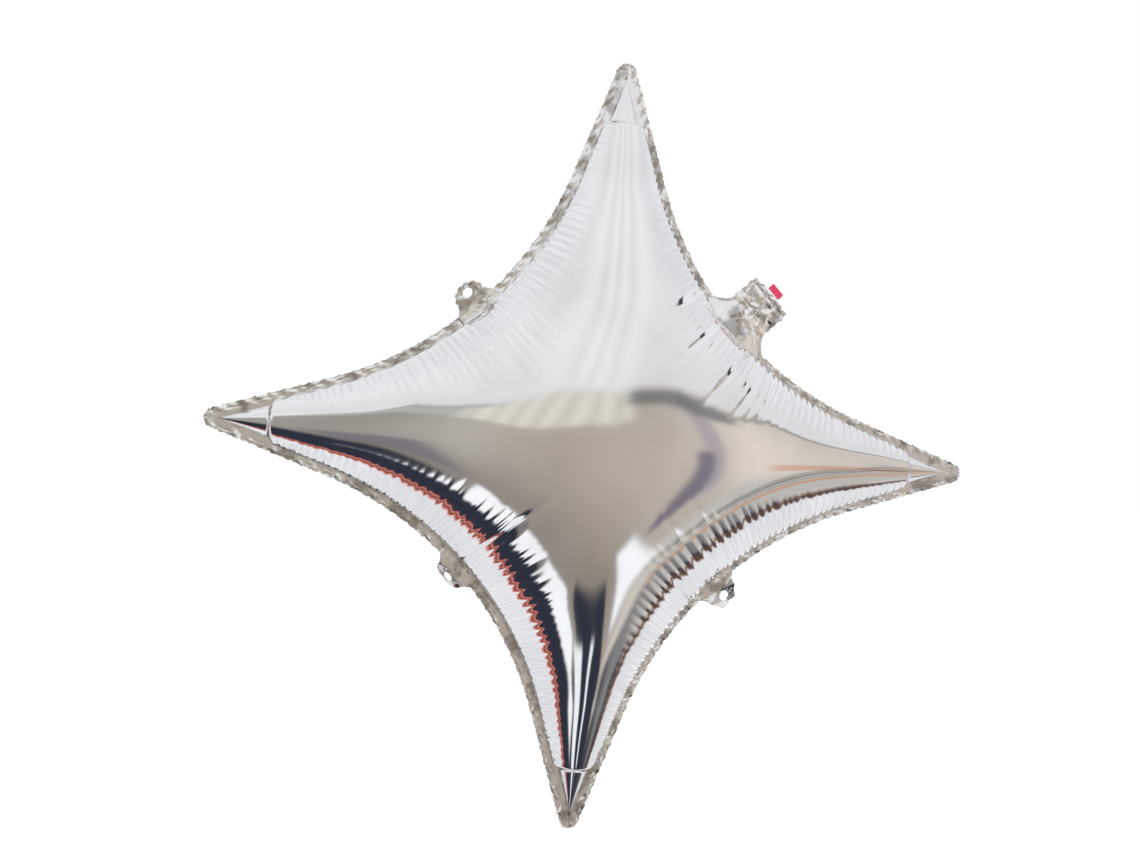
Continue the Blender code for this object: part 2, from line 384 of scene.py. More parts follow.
@dataclass(frozen=True)
class PolishedFoil(Finish):
    """Taut mirror-bright metallised film, slightly hazed and never quite flat."""

    haze: float = 0.05
    slack_pitch: float = 30 * MM
    slack_depth: float = 0.05 * MM

    def vary(self, graph: Graph) -> dict:
        """Haze the film in soft clouds and leave it a little uneven.

        Args:
            graph: The material's graph.

        Returns:
            Links of Base Color, Roughness and Normal.
        """
        clouds = graph.noise(18.0, 3.0)
        streaks = graph.noise(240.0, 2.0, 0.6, (1.0, 1.0, 0.25))
        slack = graph.noise(1.0 / self.slack_pitch, 1.0, 0.4)
        dulled = tuple(part * 0.93 for part in self.colour)
        return {
            "Base Color": graph.mix(clouds.rise(0.35, 0.7), self.colour, dulled),
            "Roughness": self.roughness + clouds * self.haze + streaks * (self.haze * 0.4),
            "Normal": graph.bump(slack, self.slack_depth),
        }


@dataclass(frozen=True)
class WeldedFoil(Finish):
    """Crumpled film with the fine ribs of a heat seal pressed into it."""

    rib_pitch: float = 0.9 * MM
    rib_depth: float = 0.008 * MM
    crumple_depth: float = 0.11 * MM
    crumple_pitch: float = 8 * MM

    def vary(self, graph: Graph) -> dict:
        """Press seal ribs and crumples into the film, and paint dark reflections into it as grey patches in random
        places.

        Args:
            graph: The material's graph.

        Returns:
            Links of Base Color, Roughness and Normal.
        """
        place = graph.node("ShaderNodeTexCoord").outputs["Object"]
        across, _, up = graph.axes(place)
        rate = 2 * HALF_TURN / (self.rib_pitch * math.sqrt(2))
        ribs = ((across + up) * rate).math("SINE") * ((across - up) * rate).math("SINE")
        crumple = graph.noise(1.0 / self.crumple_pitch, 1.5, 0.5)
        # Painted reflection: the base colour turns grey in random patches, standing in for the dark reflections of the
        # crumpled weld.
        painted_reflection_patches = graph.noise(60.0, 3.0)
        height = crumple + (ribs * 0.5 + 0.5) * (self.rib_depth / self.crumple_depth)
        painted_reflection_grey = tuple(part * share for part, share in zip(self.colour, (0.55, 0.535, 0.51)))
        return {
            "Base Color": graph.mix(painted_reflection_patches.rise(0.48, 0.62), self.colour, painted_reflection_grey),
            "Roughness": self.roughness + crumple * 0.12,
            "Normal": graph.bump(height, self.crumple_depth),
        }


@dataclass(frozen=True)
class ClearFilm(Finish):
    """Soft clear film, cloudy along its creases."""

    opacity: float = 0.3

    def vary(self, graph: Graph) -> dict:
        """Cloud the film along its creases.

        Args:
            graph: The material's graph.

        Returns:
            Links of Alpha, Roughness and Normal.
        """
        creases = graph.noise(180.0, 3.0, 0.6)
        return {
            "Alpha": self.opacity + creases.rise(0.5, 0.7) * 0.35,
            "Roughness": self.roughness + creases * 0.15,
            "Normal": graph.bump(creases, 0.1 * MM),
        }


@dataclass(frozen=True)
class PrintedFilm(Finish):
    """Opaque printed film, worn lighter in small specks."""

    worn: Colour = (0.9, 0.25, 0.35)

    def vary(self, graph: Graph) -> dict:
        """Wear the print in specks.

        Args:
            graph: The material's graph.

        Returns:
            Links of Base Color, Roughness and Normal.
        """
        specks = graph.noise(900.0, 2.0)
        sheen = graph.noise(140.0, 2.0)
        return {
            "Base Color": graph.mix(specks.rise(0.6, 0.75) * 0.5, self.colour, self.worn),
            "Roughness": self.roughness + sheen * 0.2,
            "Normal": graph.bump(sheen, 0.08 * MM),
        }


@dataclass(frozen=True)
class FloorPaint(Finish):
    """Matt pale studio floor."""

    def vary(self, graph: Graph) -> dict:
        """Vary the paint so little that it still reads as plain.

        Args:
            graph: The material's graph.

        Returns:
            Links of Base Color and Roughness.
        """
        rolled = graph.noise(1.5, 4.0)
        shade = tuple(part * 0.985 for part in self.colour)
        return {
            "Base Color": graph.mix(rolled, self.colour, shade),
            "Roughness": self.roughness + rolled * 0.1,
        }


class Workshop:
    """Makes pieces from point grids and hands them their finishes and bodies."""

    def __init__(self) -> None:
        """Start with no finishes made."""
        self._made: dict[str, bpy.types.Material] = {}

    def finish(self, finish: Finish) -> bpy.types.Material:
        """Make a finish's material once.

        Args:
            finish: The finish.

        Returns:
            Its material.
        """
        if finish.name not in self._made:
            self._made[finish.name] = finish.material()
        return self._made[finish.name]

    def mesh(self, name: str, points: Array, faces: Sequence[Sequence[int]], finish: Finish,
             weld: float = 0.0) -> bpy.types.Object:
        """Make a smooth mesh piece.

        Args:
            name: The piece's name.
            points: Its points, one row each.
            faces: Point numbers of each face.
            finish: Its finish.
            weld: Points nearer than this are joined.

        Returns:
            The new object.
        """
        if weld:
            points, faces = self._welded(points, faces, weld)
        data = bpy.data.meshes.new(name)
        data.from_pydata(points.tolist(), [], faces)
        data.validate()
        data.shade_smooth()
        data.materials.append(self.finish(finish))
        made = bpy.data.objects.new(name, data)
        bpy.context.scene.collection.objects.link(made)
        return made

    def _welded(self, points: Array, faces: Sequence[Sequence[int]],
                weld: float) -> tuple[Array, list[list[int]]]:
        """Join points that share a place and drop the faces that vanish.

        Args:
            points: The points.
            faces: Point numbers of each face.
            weld: Grid on which two points are the same.

        Returns:
            The remaining points and faces.
        """
        keys = np.round(points / weld).astype(np.int64)
        _, first, number = np.unique(keys, axis=0, return_index=True, return_inverse=True)
        number = number.reshape(-1)
        kept = []
        for face in faces:
            corners: list[int] = []
            for corner in face:
                joined = int(number[corner])
                if joined not in corners:
                    corners.append(joined)
            if len(corners) > 2:
                kept.append(corners)
        return points[first], kept

    def attach(self, piece: bpy.types.Object, body: str, slot: str, *nodes: str) -> bpy.types.Object:
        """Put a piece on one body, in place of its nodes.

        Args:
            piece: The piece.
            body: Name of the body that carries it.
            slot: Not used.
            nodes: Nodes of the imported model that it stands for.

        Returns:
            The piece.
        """
        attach(piece, body)
        if nodes:
            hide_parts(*nodes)
        log.info("%s rides on %s: %d faces", piece.name, body, len(piece.data.polygons))
        return piece

    def bend(self, piece: bpy.types.Object, bodies: tuple[str, str], ends: tuple[Vector, Vector],
             slot: str, *nodes: str) -> bpy.types.Object:
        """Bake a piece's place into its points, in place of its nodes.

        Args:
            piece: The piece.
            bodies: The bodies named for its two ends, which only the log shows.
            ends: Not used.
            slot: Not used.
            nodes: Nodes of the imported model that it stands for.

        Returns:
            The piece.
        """
        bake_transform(piece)
        if nodes:
            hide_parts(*nodes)
        log.info("%s bends from %s to %s: %d faces", piece.name, *bodies, len(piece.data.polygons))
        return piece


def grid_faces(rows: int, columns: int, start: int = 0, flip: bool = False) -> list[list[int]]:
    """Faces of a grid of points stored row by row.

    Args:
        rows: Number of rows of points.
        columns: Number of points in a row.
        start: Number of the grid's first point.
        flip: Turn the faces over.

    Returns:
        Point numbers of each face.
    """
    index = start + np.arange(rows * columns).reshape(rows, columns)
    corners = [index[:-1, :-1], index[:-1, 1:], index[1:, 1:], index[1:, :-1]]
    faces = np.stack([corner.ravel() for corner in corners], axis=1)
    return (faces[:, ::-1] if flip else faces).tolist()


def two_sided(front: Array, back: Array) -> tuple[Array, list[list[int]]]:
    """Close two grids of the same size into one solid.

    Args:
        front: Grid of points, rows by columns by 3.
        back: The grid behind it.

    Returns:
        Points and faces of the solid.
    """
    rows, columns = front.shape[:2]
    count = rows * columns
    points = np.concatenate([front.reshape(-1, 3), back.reshape(-1, 3)])
    faces = grid_faces(rows, columns) + grid_faces(rows, columns, count, flip=True)
    index = np.arange(count).reshape(rows, columns)
    border = np.concatenate([index[0, :-1], index[:-1, -1], index[-1, :0:-1], index[:0:-1, 0]])
    following = np.roll(border, -1)
    faces += np.stack([border, border + count, following + count, following], axis=1).tolist()
    return points, faces


# The star's plan and its inflated height


@dataclass(frozen=True)
class StarPlan:
    """Plan of the star, the same on its four sides, and the height that it inflates to."""

    tip_reach: float = 270 * MM
    tip_round: float = 7 * MM
    tip_half_angle: float = math.radians(19)
    waist_reach: float = 131 * MM
    seam_inset: float = 5.2 * MM
    tip_seam_inset: float = 8.2 * MM
    ring_reach: float = 227 * MM
    ring_length: float = 3 * MM
    fullness: float = 1.15
    power: float = 2.5
    opposite_share: float = 20.0

    @property
    def arc_radius(self) -> float:
        """Radius of a side's concave arc at the outer edge."""
        slant = (math.sin(self.tip_half_angle) + math.cos(self.tip_half_angle)) / math.sqrt(2)
        straight = (self.tip_reach - self.tip_round) * math.sin(self.tip_half_angle) + self.tip_round
        return (self.waist_reach * slant - straight) / (1 - slant)

    @property
    def arc_diagonal(self) -> float:
        """Distance of a side's arc centre from the star's centre."""
        return self.waist_reach + self.arc_radius

    @property
    def arc_centre(self) -> float:
        """X and Z of the arc's centre between the +X and +Z arms."""
        return self.arc_diagonal / math.sqrt(2)

    @property
    def half_sweep(self) -> float:
        """Turn of the arc from its middle to its end."""
        return math.radians(45) - self.tip_half_angle

    def edge_distance(self, x: Array, z: Array) -> Array:
        """Distance inwards from the outer edge between the +X and +Z arms.

        Args:
            x: X of each point.
            z: Z of each point.

        Returns:
            The distances.
        """
        across = np.abs(x - z) / math.sqrt(2)
        inwards = (2 * self.arc_centre - x - z) / math.sqrt(2)
        on_arc = np.hypot(across, inwards) - self.arc_radius
        reach = self.tip_reach - self.tip_round - np.maximum(x, z)
        straight = reach * math.sin(self.tip_half_angle) - np.minimum(x, z) * math.cos(self.tip_half_angle)
        return np.where(across <= inwards * math.tan(self.half_sweep), on_arc, self.tip_round + straight)

    def inset(self, along: Array) -> Array:
        """Distance from the outer edge to the film, which steps in at the ring near each tip."""
        step = np.clip((along - self.ring_reach + self.ring_length) / self.ring_length, 0, 1)
        return self.seam_inset + (self.tip_seam_inset - self.seam_inset) * step

    def height(self, x: Array, z: Array) -> Array:
        """Height of the inflated film over the seam plane.

        Args:
            x: X of each point.
            z: Z of each point.

        Returns:
            The heights, 0 on the seam.
        """
        inset = self.inset(np.maximum(np.abs(x), np.abs(z)))
        corners = ((x, z), (x, -z), (-x, -z), (-x, z))
        sides = [np.maximum(self.edge_distance(*corner) - inset, 1e-12) for corner in corners]
        adjacent = sum((sides[i] * sides[(i + 1) % 4]) ** -self.power for i in range(4))
        opposite = sum((sides[i] * sides[i + 2]) ** -self.power for i in range(2))
        total = adjacent + self.opposite_share * opposite
        full = self.fullness * total ** (-0.5 / self.power)
        return np.where(np.minimum.reduce(sides) < 1e-9, 0.0, full)

    def seam_columns(self, step: float) -> tuple[Array, Array, Array]:
        """Seam and ridge points of an eighth of the star, from the +X tip to the diagonal.

        Args:
            step: Spacing of the columns along the seam.

        Returns:
            Distance along the seam, seam points and ridge points.
        """
        sine, cosine = math.sin(self.tip_half_angle), math.cos(self.tip_half_angle)
        centre_reach = self.tip_reach - self.tip_round
        apex = centre_reach + (self.tip_round - self.tip_seam_inset) / sine
        radius = self.arc_radius + self.seam_inset
        tangent = self.arc_centre - radius * sine
        straight = np.linspace(apex, tangent, int((apex - tangent) / (step * cosine)) + 1)
        clear = self.tip_round - self.inset(straight) + (centre_reach - straight) * sine
        straight_z = np.maximum(clear / cosine, 0.0)
        straight_seam = np.stack([straight, straight_z], axis=1)
        straight_ridge = np.stack([straight - straight_z * sine / cosine, 0 * straight], axis=1)
        turns = self.tip_half_angle + np.linspace(0, self.half_sweep, int(radius * self.half_sweep / step) + 1)
        arc_seam = self.arc_centre - radius * np.stack([np.sin(turns), np.cos(turns)], axis=1)
        arc_ridge = np.stack([self.arc_centre * (1 - np.tan(turns)), 0 * turns], axis=1)
        arc_ridge[-1] = 0.0
        seam = np.concatenate([straight_seam, arc_seam[1:]])
        ridge = np.concatenate([straight_ridge, arc_ridge[1:]])
        along = np.concatenate([(apex - straight) / cosine,
                                (apex - tangent) / cosine + radius * (turns[1:] - turns[0])])
        return along, seam, ridge


# Inflated films


@dataclass(frozen=True)
class Crease:
    """One pinched crease that runs in from the seam.

    along is measured from its quarter's first tip, lean is the sideways drift per metre inwards, and
    start is where it begins, in from the seam.
    """

    along: float
    depth: float
    reach: float
    half_width: float
    lean: float = 0.0
    start: float = 0.0


@dataclass
class CreaseField:
    """Creases round one quarter of a film: many short ones, fewer long ones and single deep folds."""

    length: float
    ring_along: float
    seed: int
    strengths: tuple[float, float] = (1.0, 1.0)
    folds: Sequence[Crease] = ()
    span_share: float = 0.6
    fine_pitch: float = 5.2 * MM
    fine_depth: float = 1.0 * MM
    fine_reach: float = 72 * MM
    fine_half_width: float = 1.25 * MM
    long_pitch: float = 23 * MM
    long_depth: float = 0.5 * MM
    long_reach: float = 92 * MM
    long_half_width: float = 1.7 * MM

    def creases(self) -> list[Crease]:
        """Draw the creases of this quarter.

        Returns:
            All creases, the given folds last.
        """
        draw = np.random.default_rng(self.seed)
        made: list[Crease] = []
        ranks = (
            (self.fine_pitch, self.fine_depth, self.fine_reach, self.fine_half_width),
            (self.long_pitch, self.long_depth, self.long_reach, self.long_half_width),
        )
        for pitch, depth, reach, half_width in ranks:
            place = self.ring_along + pitch * draw.uniform(0.4, 0.8)
            while place < self.length - self.ring_along - pitch * 0.4:
                made.append(self._drawn(draw, place, depth, reach, half_width))
                place += pitch * draw.uniform(0.84, 1.17)
        return made + list(self.folds)

    def _drawn(self, draw: np.random.Generator, place: float, depth: float, reach: float,
               half_width: float) -> Crease:
        """Draw one crease at a place along the seam.

        Args:
            draw: Source of the random numbers.
            place: Place along the seam.
            depth: Usual depth.
            reach: Usual reach.
            half_width: Usual half width.

        Returns:
            The crease.
        """
        from_middle = abs(place / self.length - 0.5) * 2
        local = 1.0 - 0.62 * from_middle ** 1.6
        strength = float(np.interp(place / self.length, (0.42, 0.58), self.strengths))
        return Crease(
            along=place,
            depth=strength * depth * draw.uniform(0.75, 1.2) * (0.35 + 0.65 * local),
            reach=reach * draw.uniform(0.85, 1.12) * local,
            half_width=half_width * draw.uniform(0.9, 1.15),
            lean=draw.normal(0.0, 0.012),
        )

    def depth(self, along: Array, inwards: Array) -> Array:
        """Depth of all creases over a grid.

        Args:
            along: Place along the seam of each grid column, as a row.
            inwards: Distance over the film from the seam of each grid point, rows by columns.

        Returns:
            Depth of each point under the smooth film.
        """
        total = np.zeros_like(inwards)
        for crease in self.creases():
            near = np.abs(along[0] - crease.along) < crease.half_width * 7 + abs(crease.lean) * crease.reach
            place, distance = along[:, near], inwards[:, near]
            reach = np.minimum(crease.reach, self.span_share * inwards[-1:, near])
            spread = crease.half_width * (1.0 + 0.35 * distance / reach)
            offset = (place - crease.along - crease.lean * distance) / spread
            share = np.clip((distance - crease.start) / (reach - crease.start), 0.0, 1.6)
            fade = np.exp(-2.0 * share ** 4.5) * smooth_step(0.0, 2.2 * MM, distance - crease.start)
            fade *= 0.3 + 0.7 * smooth_step(0.08, 0.5, share)
            total[:, near] += crease.depth * fade * np.exp(-np.abs(offset) ** 1.5)
        return total


@dataclass
class InflatedFilm:
    """One inflated film of the star: the smooth crown, its creases at the seam and its ring steps."""

    plan: StarPlan
    name: str
    facing: int
    node: str
    seed: int
    strengths: Sequence[tuple[float, float]] = ((0.8, 0.8),) * 4
    folds: dict[int, Sequence[Crease]] = field(default_factory=dict)
    column_step: float = 0.62 * MM
    rows: int = 34
    foot: float = 0.12 * MM
    slack_depth: float = 0.22 * MM
    slack_pitch: float = 62 * MM

    def build(self, shop: Workshop, finish: Finish) -> bpy.types.Object:
        """Build the film from its four quarters and dress it.

        Args:
            shop: The workshop.
            finish: The film's finish.

        Returns:
            The film.
        """
        points: list[Array] = []
        faces: list[list[int]] = []
        start = 0
        for quarter in range(4):
            grid = self.quarter_points(quarter)
            rows, columns = grid.shape[:2]
            points.append(grid.reshape(-1, 3))
            faces += grid_faces(rows, columns, start, flip=self.facing > 0)
            start += rows * columns
        made = shop.mesh(self.name, np.concatenate(points), faces, finish, weld=0.02 * MM)
        return shop.attach(made, "balloon", "foil", self.node)

    def quarter_points(self, quarter: int) -> Array:
        """Points of one quarter, from its first tip to its second, seam row first.

        Args:
            quarter: Number of quarter turns from the +X to +Z quarter, towards +Z.

        Returns:
            Grid of points, rows by columns by 3.
        """
        along, seam, ridge = self.plan.seam_columns(self.column_step)
        seam = np.concatenate([seam, seam[-2::-1, ::-1]])
        ridge = np.concatenate([ridge, ridge[-2::-1, ::-1]])
        along = np.concatenate([along, 2 * along[-1] - along[-2::-1]])
        share = 1 - np.cos(np.linspace(0, HALF_TURN / 2, self.rows + 1))[:, None, None]
        plan = seam[None] + (ridge - seam)[None] * share
        x, z = plan[..., 0], plan[..., 1]
        height = self.plan.height(x, z)
        smooth = np.stack([x, height, z], axis=-1)
        steps = np.linalg.norm(np.diff(smooth, axis=0), axis=-1)
        inwards = np.concatenate([np.zeros((1, len(along))), np.cumsum(steps, axis=0)])
        sunk = self._sink(quarter, np.repeat(along[None], len(inwards), axis=0), inwards, x, z)
        shaped = smooth - self._normals(smooth) * sunk[..., None]
        shaped[0] = smooth[0]
        return self._placed(shaped, quarter)

    def _sink(self, quarter: int, along: Array, inwards: Array, x: Array, z: Array) -> Array:
        """Depth of each point under the smooth crown.

        Args:
            quarter: Number of the quarter.
            along: Distance along the seam of each point.
            inwards: Distance over the film from the seam of each point.
            x: X of each point before the quarter is turned.
            z: Z of each point before the quarter is turned.

        Returns:
            The depths.
        """
        ring_along = float(np.interp(-self.plan.ring_reach, -x[0, : x.shape[1] // 2], along[0, : x.shape[1] // 2]))
        folds = self.folds.get(quarter, ())
        creased = CreaseField(along[0, -1], ring_along, self.seed + quarter, self.strengths[quarter], folds)
        creases = creased.depth(along, inwards)
        span = inwards[-1][None] + 1e-9
        from_ridge = 1 - inwards / span
        creases *= smooth_step(0.0, 0.35, from_ridge)
        turned_x, turned_z = self._turned(x, z, quarter)
        slack = lumps(turned_x, turned_z, self.slack_pitch, 9, self.seed + 50)
        slack *= smooth_step(0.0, 40 * MM, inwards) * self.slack_depth
        return creases + slack

    @staticmethod
    def _normals(grid: Array) -> Array:
        """Outward unit normals of a grid of points, with heights along the second axis."""
        down = np.gradient(grid, axis=0)
        across = np.gradient(grid, axis=1)
        normal = np.cross(down, across)
        size = np.linalg.norm(normal, axis=-1, keepdims=True)
        normal = normal / np.maximum(size, 1e-12)
        flip = np.where(normal[..., 1:2] < 0, -1.0, 1.0)
        return normal * flip

    @staticmethod
    def _turned(x: Array, z: Array, quarter: int) -> tuple[Array, Array]:
        """Turn plan coordinates by a number of quarter turns from +X towards +Z."""
        for _ in range(quarter):
            x, z = -z, x
        return x, z

    def _placed(self, grid: Array, quarter: int) -> Array:
        """Turn a quarter into place and put it on its side of the seam."""
        x, z = self._turned(grid[..., 0], grid[..., 2], quarter)
        return np.stack([x, self.facing * (self.foot + grid[..., 1]), z], axis=-1)


# Welded seam


@dataclass
class WeldedSeam:
    """The flat welded edge outside the films, ruffled where the inflated films draw it in."""

    plan: StarPlan
    column_step: float = 1.05 * MM
    insets: Sequence[float] = tuple(v * MM for v in (
        11.0, 8.5, 7.2, 6.4, 5.8, 5.2, 4.6, 4.0, 3.4, 2.8, 2.2, 1.6, 1.0, 0.5, 0.12, 0.0))
    half_thickness: float = 0.1 * MM
    ruffle: float = 0.42 * MM
    pleat: float = 0.2 * MM
    pleat_pitch: float = 2.9 * MM
    ragged: float = 0.4 * MM
    seed: int = 300

    def build(self, shop: Workshop, finish: Finish) -> bpy.types.Object:
        """Build the seam all round and dress it.

        Args:
            shop: The workshop.
            finish: The seam's finish.

        Returns:
            The seam.
        """
        points: list[Array] = []
        faces: list[list[int]] = []
        start = 0
        for quarter in range(4):
            solid, solid_faces = self._quarter(quarter)
            points.append(solid)
            faces += [[corner + start for corner in face] for face in solid_faces]
            start += len(solid)
        made = shop.mesh("seam_weld", np.concatenate(points), faces, finish, weld=0.01 * MM)
        return shop.attach(made, "balloon", "foil_weld", "seam_flange")

    def _edge(self) -> tuple[Array, Array, Array]:
        """Outer edge of a quarter from the +X to the +Z tip.

        Returns:
            Distance along the edge, edge points and outward normals.
        """
        plan = self.plan
        step = self.column_step
        centre_reach = plan.tip_reach - plan.tip_round
        tip_turn = HALF_TURN / 2 - plan.tip_half_angle
        turns = np.linspace(0, tip_turn, int(plan.tip_round * tip_turn / step) + 1)
        tip_normal = np.stack([np.cos(turns), np.sin(turns)], axis=1)
        tip = np.array([centre_reach, 0.0]) + plan.tip_round * tip_normal
        sweep = plan.tip_half_angle + np.linspace(0, plan.half_sweep, int(plan.arc_radius * plan.half_sweep / step))
        arc_normal = np.stack([np.sin(sweep), np.cos(sweep)], axis=1)
        arc = plan.arc_centre - plan.arc_radius * arc_normal
        count = int(np.linalg.norm(arc[0] - tip[-1]) / step)
        share = np.linspace(0, 1, count + 1)[1:-1, None]
        line = tip[-1] + (arc[0] - tip[-1]) * share
        line_normal = np.repeat(arc_normal[:1], len(line), axis=0)
        points = np.concatenate([tip, line, arc])
        normals = np.concatenate([tip_normal, line_normal, arc_normal])
        points = np.concatenate([points, points[-2::-1, ::-1]])
        normals = np.concatenate([normals, normals[-2::-1, ::-1]])
        along = np.concatenate([[0.0], np.cumsum(np.linalg.norm(np.diff(points, axis=0), axis=1))])
        return along, points, normals

    def _quarter(self, quarter: int) -> tuple[Array, list[list[int]]]:
        """Solid of one quarter of the seam.

        Args:
            quarter: Number of quarter turns from the +X to +Z quarter.

        Returns:
            Points and faces.
        """
        along, edge, normals = self._edge()
        inset = np.array(self.insets)[:, None]
        seed = self.seed + 10 * quarter
        ends = smooth_step(0, 4 * MM, np.minimum(along, along[-1] - along))
        free = smooth_step(6.5 * MM, 0.0, inset)
        ragged = self.ragged * waves(along, (3.1 * MM, 5.3 * MM, 9.7 * MM), seed) * ends * smooth_step(3 * MM, 0.0, inset)
        plan = edge[None] - normals[None] * (inset + ragged)[..., None]
        x = np.maximum(plan[..., 0], 0.0)
        z = np.maximum(plan[..., 1], 0.0)
        lift = waves(along + inset, (9.3 * MM, 15.1 * MM, 24.7 * MM), seed + 1)
        lift = lift + 0.22 * waves(along - inset, (4.1 * MM, 6.6 * MM), seed + 2)
        wander = 1.9 * waves(along, (19.7 * MM, 33.3 * MM, 57.1 * MM), seed + 3)
        pleats = np.sin(2 * HALF_TURN * inset / self.pleat_pitch + wander) * (0.6 + 0.4 * waves(along, (19 * MM,), seed + 4))
        wave = free * (self.ruffle * lift + self.pleat * pleats) * (0.35 + 0.65 * ends)
        x, z = InflatedFilm._turned(x, z, quarter)
        front = np.stack([x, wave - self.half_thickness, z], axis=-1)
        back = np.stack([x, wave + self.half_thickness, z], axis=-1)
        return two_sided(front, back)


# Hang tabs


class Corner(Enum):
    """Corners between the arms, with their turn about +Y from straight up."""

    UPPER_RIGHT = 45
    LOWER_RIGHT = 135
    LOWER_LEFT = 225
    UPPER_LEFT = 315

    def place(self, side: Array, out: Array, lift: Array) -> Array:
        """Put corner coordinates into the star's frame.

        Args:
            side: Distance along the side.
            out: Distance outwards from the star's centre.
            lift: Distance towards the front.

        Returns:
            Points, with the last axis for X, Y and Z.
        """
        turn = math.radians(self.value)
        x = side * math.cos(turn) + out * math.sin(turn)
        z = -side * math.sin(turn) + out * math.cos(turn)
        return np.stack([x, -lift + 0 * x, z], axis=-1)

    def point(self, side: float, out: float, lift: float) -> Vector:
        """One point in the star's frame."""
        return Vector(self.place(np.array(side), np.array(out), np.array(lift)).tolist())


class TabForm(Enum):
    """Cut and bend of a hang tab.

    Scallops and their depth, forward curl of its end, slopes of its two halves (along the side, then
    outwards) and the share by which it is drawn back.
    """

    SCALLOPED = (6, 1.3 * MM, 12.0, ((0.0, 0.0), (0.12, 0.1)), 0.14)
    ROUND = (0, 0.0, -35.0, ((0.0, 0.0), (0.0, 0.0)), 0.42)
    CURLED = (0, 0.0, 20.0, ((-0.36, -0.4), (0.16, -0.05)), 0.1)


@dataclass
class HangTab:
    """A foil ear with a ribbon hole, flared where it leaves the seam."""

    plan: StarPlan
    corner: Corner
    form: TabForm
    body: str
    node: str
    name: str
    seed: int
    half_width: float = 11.5 * MM
    foot_half_width: float = 17 * MM
    foot_in: float = 5 * MM
    round_centre: float = 4 * MM
    hinge_out: float = 3.35 * MM
    hole_out: float = 7.5 * MM
    hole_radius: float = 3.6 * MM
    half_thickness: float = 0.12 * MM
    crumple: float = 0.34 * MM
    spokes: int = 120
    rings: int = 12

    @property
    def hinge_reach(self) -> float:
        """Distance of the fold from the star's centre."""
        return self.plan.waist_reach + self.hinge_out

    def outline(self, turns: Array) -> Array:
        """Distance from the hole's centre to the tab's edge.

        Args:
            turns: Direction of each ray, from the local side axis.

        Returns:
            The distances.
        """
        scallops, scallop_depth = self.form.value[:2]
        edge: list[tuple[float, float]] = []
        for step in range(121):
            turn = HALF_TURN * step / 120
            radius = self.half_width
            if scallops:
                radius -= scallop_depth * (1 - abs(math.sin(scallops * turn)) ** 0.7)
            if self.form is TabForm.CURLED:
                radius *= 0.93 + 0.07 * math.cos(6 * turn)
            edge.append((radius * math.cos(turn), self.round_centre + radius * math.sin(turn)))
        flare = np.linspace(0, 1, 16)[1:]
        left = [(-self.half_width - (self.foot_half_width - self.half_width) * s ** 2.4,
                 self.round_centre - (self.round_centre + self.hinge_out - 0.5 * MM) * s) for s in flare]
        edge += left
        edge += [(-self.foot_half_width, -self.hinge_out - self.foot_in),
                 (self.foot_half_width, -self.hinge_out - self.foot_in)]
        edge += [(-x, y) for x, y in reversed(left)]
        corners = np.array(edge) - np.array([0.0, self.hole_out])
        return self._ray_lengths(corners, turns)

    @staticmethod
    def _ray_lengths(corners: Array, turns: Array) -> Array:
        """Distance from the origin to a closed outline along each ray."""
        following = np.roll(corners, -1, axis=0)
        side = following - corners
        lengths = np.full(len(turns), np.inf)
        for number, turn in enumerate(turns):
            ray = np.array([math.cos(turn), math.sin(turn)])
            cross = ray[0] * side[:, 1] - ray[1] * side[:, 0]
            with np.errstate(divide="ignore", invalid="ignore"):
                reach = (corners[:, 0] * side[:, 1] - corners[:, 1] * side[:, 0]) / cross
                share = (corners[:, 0] * ray[1] - corners[:, 1] * ray[0]) / cross
            hit = (np.abs(cross) > 1e-12) & (reach > 0) & (share >= -1e-9) & (share <= 1 + 1e-9)
            lengths[number] = reach[hit].min()
        return lengths

    def build(self, shop: Workshop, finish: Finish) -> bpy.types.Object:
        """Build the tab and bake its place into its points.

        Args:
            shop: The workshop.
            finish: The tab's finish.

        Returns:
            The tab.
        """
        turns = np.linspace(0, 2 * HALF_TURN, self.spokes + 1)[:-1]
        reach = self.outline(turns)
        share = np.linspace(0, 1, self.rings + 1)[:, None]
        radius = self.hole_radius + (reach - self.hole_radius)[None] * share
        side = radius * np.cos(turns)
        out = self.hole_out + radius * np.sin(turns)
        lift = self._lift(side, out)
        free = smooth_step(-1 * MM, 4 * MM, out)
        out = out - free * self._drawn_in(out)
        sheets = []
        for half in (self.half_thickness, -self.half_thickness):
            sheets.append(self.corner.place(side, self.hinge_reach + out, lift + half))
        points, faces = self._ring_solid(*sheets)
        made = shop.mesh(self.name, points, faces, finish)
        ends = (self.corner.point(0, self.hinge_reach - 1.5 * MM, 0), self.corner.point(0, self.hinge_reach + 2.5 * MM, 0))
        return shop.bend(made, ("balloon", self.body), ends, "foil_weld", self.node)

    def _lift(self, side: Array, out: Array) -> Array:
        """Distance of each point in front of the flat tab: its curl and its crumples."""
        curl, slopes = self.form.value[2:4]
        free = smooth_step(-1 * MM, 4 * MM, out)
        reach = np.maximum(out, 0.0)
        bent = (reach ** 2) / (2 * 15 * MM) * math.sin(math.radians(curl))
        ends = smooth_step(0.0, 5 * MM, reach)
        (right_side, right_out), (left_side, left_out) = slopes
        halves = np.where(side < 0, side * right_side + reach * right_out, side * left_side + reach * left_out)
        creased = lumps(side, out, 12 * MM, 7, self.seed) + 0.35 * lumps(side, out, 5 * MM, 7, self.seed + 1)
        return bent + halves * ends + creased * self.crumple * (0.25 + 0.75 * free)

    def _drawn_in(self, out: Array) -> Array:
        """How far a curled tab's end is drawn back towards the seam."""
        curl, _, drawn = self.form.value[2:]
        reach = np.maximum(out, 0.0)
        return reach * drawn + reach ** 2 / (15 * MM) * (1 - math.cos(math.radians(curl))) * 0.5

